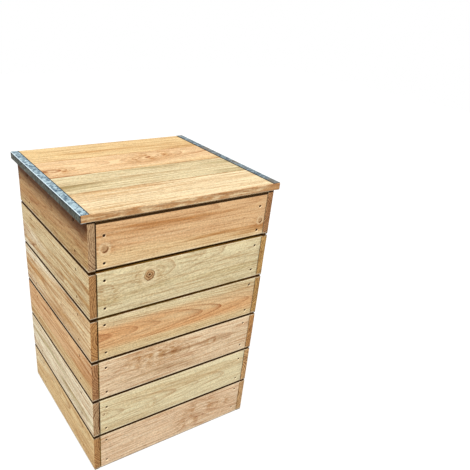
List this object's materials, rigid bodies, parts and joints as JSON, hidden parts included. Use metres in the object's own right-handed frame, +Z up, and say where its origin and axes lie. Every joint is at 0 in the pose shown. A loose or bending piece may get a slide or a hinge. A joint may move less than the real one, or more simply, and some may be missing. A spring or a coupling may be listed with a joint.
{
  "type": "wooden compost bin",
  "caption": "Tall square wooden compost bin of horizontal boards on corner battens, with a perforated steel tray floor and a hinged board lid edged with steel channels.",
  "frame": {"origin": "on the ground under the middle of the four walls, at the underside of the tray", "axes": "+Z up, -Y out of the front wall, +X to the right hand of someone who faces the front"},
  "size_m": [0.64, 0.5713, 0.9066],
  "materials": {
    "tan_pine": "planed treated softwood, tan, open grain, matt",
    "orange_pine": "planed treated softwood, orange heartwood, matt",
    "greenish_pine": "planed treated softwood, yellow with a green cast, matt",
    "pinkish_pine": "planed treated softwood, pinkish brown, matt",
    "yellow_pine": "planed softwood, pale yellow, matt",
    "grey_green_pine": "planed treated softwood, grey green, matt",
    "galvanised_sheet": "hot dip galvanised sheet with a faint spangle",
    "plated_steel": "bright zinc plated steel"
  },
  "bodies": {
    "bin": {"front_board_1": "pinkish_pine", "front_board_2": "greenish_pine", "front_board_3": "pinkish_pine", "front_board_4": "orange_pine", "front_board_5": "greenish_pine", "front_board_6": "tan_pine", "left_board_1": "yellow_pine", "left_board_2": "greenish_pine", "left_board_3": "tan_pine", "left_board_4": "pinkish_pine", "left_board_5": "greenish_pine", "left_board_6": "tan_pine", "back_board_1": "tan_pine", "back_board_2": "yellow_pine", "back_board_3": "pinkish_pine", "back_board_4": "greenish_pine", "back_board_5": "orange_pine", "back_board_6": "greenish_pine", "right_board_1": "greenish_pine", "right_board_2": "tan_pine", "right_board_3": "yellow_pine", "right_board_4": "pinkish_pine", "right_board_5": "tan_pine", "right_board_6": "greenish_pine", "front_batten_left": "greenish_pine", "left_batten_front": "yellow_pine", "front_batten_right": "greenish_pine", "right_batten_front": "yellow_pine", "back_batten_left": "greenish_pine", "left_batten_back": "yellow_pine", "back_batten_right": "greenish_pine", "right_batten_back": "yellow_pine", "tray": "galvanised_sheet", "tray_screw_front": "plated_steel", "tray_screw_back": "plated_steel", "tray_screw_left": "plated_steel", "tray_screw_right": "plated_steel", "hinge_left_wall_leaf": "plated_steel", "hinge_left_pin": "plated_steel", "hinge_left_wall_screw_a": "plated_steel", "hinge_left_wall_screw_b": "plated_steel", "hinge_right_wall_leaf": "plated_steel", "hinge_right_pin": "plated_steel", "hinge_right_wall_screw_a": "plated_steel", "hinge_right_wall_screw_b": "plated_steel"},
    "lid": {"lid_board_1": "yellow_pine", "lid_board_2": "grey_green_pine", "lid_board_3": "orange_pine", "lid_board_4": "yellow_pine", "lid_cleat_left": "tan_pine", "lid_channel_left": "galvanised_sheet", "hinge_left_lid_leaf": "plated_steel", "hinge_left_lid_screw_a": "plated_steel", "hinge_left_lid_screw_b": "plated_steel", "lid_cleat_right": "tan_pine", "lid_channel_right": "galvanised_sheet", "hinge_right_lid_leaf": "plated_steel", "hinge_right_lid_screw_a": "plated_steel", "hinge_right_lid_screw_b": "plated_steel"}
  },
  "joints": [
    {"name": "lid_hinge", "type": "hinge", "parent": "bin", "child": "lid", "pos_m": [0, 0.2838, 0.885], "axis": [-1, 0, 0], "range_deg": [0, 190]}
  ]
}
